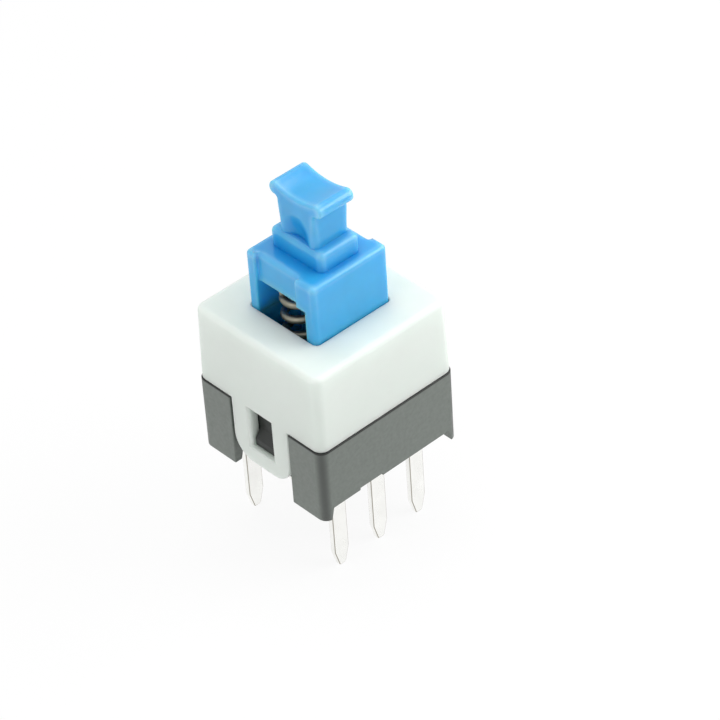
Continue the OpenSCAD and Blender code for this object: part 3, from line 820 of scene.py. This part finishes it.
    @staticmethod
    def plinth(sizes, block_top):
        """The plinth: a rounded rectangle, sunk in the block and rounded in at the top."""
        x, y = sizes.plinth_length / 2, sizes.plinth_width / 2
        corners = np.array([(-x, -y), (x, -y), (x, y), (-x, y)])
        radius, high = sizes.plinth_edge, block_top + sizes.plinth_height
        inset, along = domed(block_top - PLINTH_SUNK, high, radius, 16)
        return skinned("plinth", rounded_corners(corners, np.full(4, radius), inset, 8), along, 2)


class SWITCH_OT_return_spring(Operator):
    """Wind the return spring between the base's floor and the plunger's pocket"""

    bl_idname = "push_switch.return_spring"
    bl_label = "Return spring"

    def execute(self, context):
        sizes = settings().sizes
        low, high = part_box("return_spring")
        wire, turns = sizes.spring_wire, sizes.spring_turns
        middle = ((high.y - low.y) - wire) / 2
        closed = wire + COIL_GAP
        first, last = low.z + wire / 2, high.z - wire / 2
        opened = (last - first - 2 * closed) / (turns - 2)
        # Helix: angle a = start + 2 pi t, rising by the closed pitch on the end turns, the open one between
        t = np.linspace(0, turns, int(turns * TURN_STEPS) + 1)
        a = sizes.spring_start + 2 * np.pi * t
        z = first + closed * (np.minimum(t, 1) + np.maximum(t - turns + 1, 0))
        z += opened * np.clip(t - 1, 0, turns - 2)
        centre = (low.x + high.x) / 2
        path = np.stack([centre + middle * np.cos(a), middle * np.sin(a), z], axis=1)
        outward = np.stack([np.cos(a), np.sin(a), np.zeros_like(a)], axis=1)
        piece = swept_wire("spring_coil", path, outward, wire / 2)
        finish = metal_finish("spring_wire", settings().colours.spring, 0.42, (1, 1, 1), tone=0.2)
        dress(piece, "body", "spring_wire", finish, "return_spring")
        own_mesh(piece)
        return {"FINISHED"}


class SWITCH_OT_lock_pin(Operator):
    """Finish the lock pin's drawn wire"""

    bl_idname = "push_switch.lock_pin"
    bl_label = "Lock pin"

    def execute(self, context):
        finish_node("lock_pin", metal_finish("lock_wire", settings().colours.lock, 0.26, (1, 1, 0.1)))
        return {"FINISHED"}


class SWITCH_OT_moving_contacts(Operator):
    """Finish the two sprung contact leaves"""

    bl_idname = "push_switch.moving_contacts"
    bl_label = "Moving contacts"

    def execute(self, context):
        finish = metal_finish("contact_leaf", settings().colours.leaf, 0.28, (0.1, 1, 1))
        for row in ("front", "rear"):
            finish_node(f"{row}_moving_contact", finish)
        return {"FINISHED"}


class SWITCH_OT_terminals(Operator):
    """Roll the six terminal strips, with dark sheared edges"""

    bl_idname = "push_switch.terminals"
    bl_label = "Terminals"

    def execute(self, context):
        sizes, colours = settings().sizes, settings().colours
        finish = metal_finish("terminal_tin", colours.tin, 0.3, (1, 1, 0.12), 0.05, colours.sheared)
        for row in ("front", "rear"):
            for pole in ("rest", "common", "work"):
                node = f"{row}_{pole}_terminal"
                low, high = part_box(node)
                outline = strip_outline(node)
                piece = rounded_slab(
                    f"{row}_{pole}_strip", outline, low.y, high.y, sizes.strip_edge, sizes.segments, 1
                )
                dress(piece, "body", "terminal", finish, node)
        return {"FINISHED"}


class SWITCH_OT_stage(Operator):
    """Set the floor, the soft light and the camera"""

    bl_idname = "push_switch.stage"
    bl_label = "Stage"

    def execute(self, context):
        self.floor()
        self.world()
        self.lights()
        self.camera()
        context.scene.view_settings.view_transform = "Standard"
        return {"FINISHED"}

    @staticmethod
    def seen(tree):
        """1 for rays that show the background: camera, glossy and transmission."""
        path = put(tree, "ShaderNodeLightPath").outputs
        pair = compute(tree, "MAXIMUM", path["Is Camera Ray"], path["Is Glossy Ray"])
        return compute(tree, "MAXIMUM", pair, path["Is Transmission Ray"])

    def floor(self):
        """A square floor at the pins' tips, mostly white where it is looked at, still taking the shadow."""
        half, level = FLOOR_HALF, CAD_BOX[0][2]
        corners = [(-half, -half, level), (half, -half, level), (half, half, level), (-half, half, level)]
        floor = new_piece("floor", corners, [(0, 1, 2, 3)], smooth=False)
        made, tree, out = new_tree("pale_floor")
        rgb = settings().colours.floor
        paper = mixed(tree, spread(tree, object_noise(tree, 60), 0, 1), shade(rgb, 0.995), shade(rgb, 1.005))
        diffuse = put(tree, "ShaderNodeBsdfDiffuse", {"Color": paper}).outputs[0]
        white = put(tree, "ShaderNodeEmission", {"Color": (1, 1, 1, 1), "Strength": 1.0}).outputs[0]
        share = compute(tree, "MULTIPLY", self.seen(tree), FLOOR_WHITE)
        both = put(tree, "ShaderNodeMixShader", {0: share, 1: diffuse, 2: white}).outputs[0]
        tree.links.new(both, out.inputs["Surface"])
        floor.data.materials.append(made)
        floor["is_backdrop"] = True

    def world(self):
        """Light from all round at the ambient level, and white where it is looked at or mirrored."""
        world = bpy.data.worlds.new("studio")
        bpy.context.scene.world = world
        world.use_nodes = True
        tree = world.node_tree
        tree.nodes.clear()
        ambient = settings().stage.ambient
        level = compute(tree, "MULTIPLY_ADD", self.seen(tree), 1 - ambient, ambient)
        ground = put(tree, "ShaderNodeBackground", {"Color": (1, 1, 1, 1), "Strength": level}).outputs[0]
        put(tree, "ShaderNodeOutputWorld", {"Surface": ground})

    def lights(self):
        """Three soft squares: close by on the right, on the left and above."""
        stage = settings().stage
        for name, power, size, place in (
            ("key", stage.key, 0.08, (0.07, -0.055, 0.06)),
            ("fill", stage.fill, 0.16, (-0.21, 0.03, 0.12)),
            ("top", stage.top, 0.16, (0.03, 0.05, 0.24)),
        ):
            lamp = bpy.data.lights.new(name, "AREA")
            lamp.energy = power
            lamp.size = size
            made = bpy.data.objects.new(name, lamp)
            made.location = place
            made.rotation_euler = (AIM - Vector(place)).to_track_quat("-Z", "Y").to_euler()
            bpy.context.scene.collection.objects.link(made)

    def camera(self):
        """Camera from its turn, height angle, roll and distance, with the origin on its pixel."""
        stage = settings().stage
        a, e, r = stage.azimuth, stage.elevation, stage.roll
        back = Vector((math.sin(a) * math.cos(e), -math.cos(a) * math.cos(e), math.sin(e)))
        right = Vector((math.cos(a), math.sin(a), 0))
        up = back.cross(right)
        x_axis = math.cos(r) * right + math.sin(r) * up
        y_axis = -math.sin(r) * right + math.cos(r) * up
        scale = stage.distance / stage.focal_px
        half = FRAME_PX / 2
        place = stage.distance * back
        place -= (stage.centre_px[0] - half) * scale * x_axis
        place -= (half - stage.centre_px[1]) * scale * y_axis
        lens = bpy.data.cameras.new("camera")
        lens.sensor_width = 36
        lens.lens = stage.focal_px * lens.sensor_width / FRAME_PX
        lens.clip_start = 0.01
        made = bpy.data.objects.new("camera", lens)
        made.matrix_world = Matrix.Translation(place) @ Matrix((x_axis, y_axis, back)).transposed().to_4x4()
        bpy.context.scene.collection.objects.link(made)
        bpy.context.scene.camera = made


STEPS = (
    SWITCH_OT_stage,
    SWITCH_OT_base,
    SWITCH_OT_housing,
    SWITCH_OT_plunger,
    SWITCH_OT_return_spring,
    SWITCH_OT_lock_pin,
    SWITCH_OT_moving_contacts,
    SWITCH_OT_terminals,
)


class SWITCH_PT_panel(Panel):
    """Lists the pieces of the switch and its settings"""

    bl_idname = "SWITCH_PT_panel"
    bl_label = "Push switch"
    bl_space_type = "VIEW_3D"
    bl_region_type = "UI"
    bl_category = "Switch"

    def draw(self, context):
        layout = self.layout
        for step in STEPS:
            layout.operator(step.bl_idname)
        for group in (settings().sizes, settings().colours, settings().stage):
            box = layout.box()
            for name in group.bl_rna.properties.keys():
                if name not in ("rna_type", "name"):
                    box.prop(group, name)


CLASSES = (SwitchSizes, SwitchColours, SwitchStage, SwitchSettings, *STEPS, SWITCH_PT_panel)


def register():
    for made in CLASSES:
        bpy.utils.register_class(made)
    bpy.types.Scene.push_switch = PointerProperty(type=SwitchSettings)


def unregister():
    del bpy.types.Scene.push_switch
    for made in reversed(CLASSES):
        bpy.utils.unregister_class(made)


def main():
    register()
    for step in STEPS:
        group, name = step.bl_idname.split(".")
        getattr(getattr(bpy.ops, group), name)()
    boxes = {"cad": CAD_BOX, "visual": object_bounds()}
    {key: [list(corner) for corner in value] for key, value in boxes.items()}


if __name__ == "__main__":
    main()
